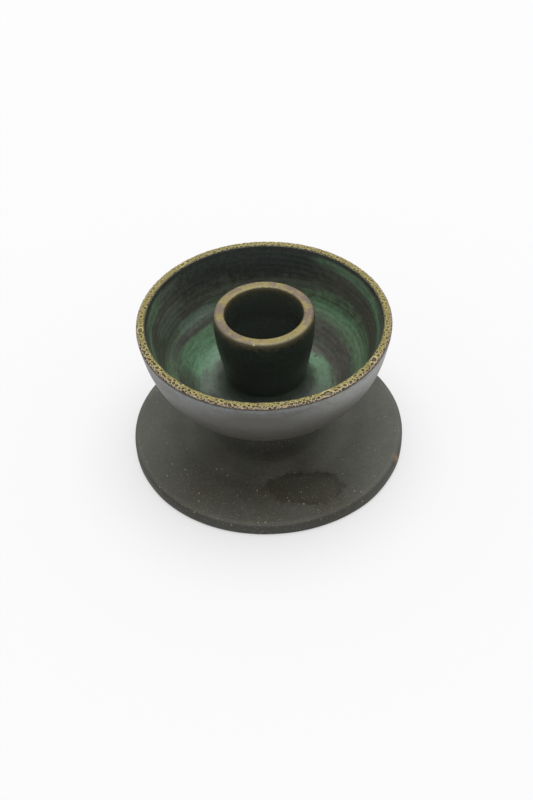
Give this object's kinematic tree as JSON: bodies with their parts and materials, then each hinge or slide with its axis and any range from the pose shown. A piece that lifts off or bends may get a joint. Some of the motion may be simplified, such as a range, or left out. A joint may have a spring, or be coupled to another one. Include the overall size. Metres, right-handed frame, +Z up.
{
  "type": "inkwell",
  "caption": "Footed stoneware inkwell: a round well cup stands inside an open glazed bowl on a wide flat foot.",
  "frame": {"origin": "centre of the ring that the foot rests on, at table height", "axes": "+Z up along the axis that every piece is turned about; +X and +Y are level"},
  "size_m": [0.0934, 0.0934, 0.0548],
  "materials": {
    "foot_clay": "matte unglazed stoneware, dark warm grey with fine pale grog",
    "body_clay": "matte stoneware under the glaze",
    "slip": "matte fired slip",
    "grey_glaze": "satin blue-grey",
    "ochre_glaze": "cratered ochre crawl glaze",
    "green_glaze": "satin brushed green over dark brown",
    "black_glaze": "satin black-green",
    "cup_rim_glaze": "satin ochre to mauve-brown"
  },
  "bodies": {
    "root": {"foot": "foot_clay", "foot_joint_slip": "slip", "bowl": "body_clay", "bowl_outer_glaze": "grey_glaze", "bowl_rim_glaze": "ochre_glaze", "bowl_lining_glaze": "green_glaze", "cup_joint_slip": "slip", "well_cup": "body_clay", "cup_outer_glaze": "black_glaze", "cup_rim_glaze": "cup_rim_glaze", "well_lining_glaze": "black_glaze"}
  },
  "joints": []
}
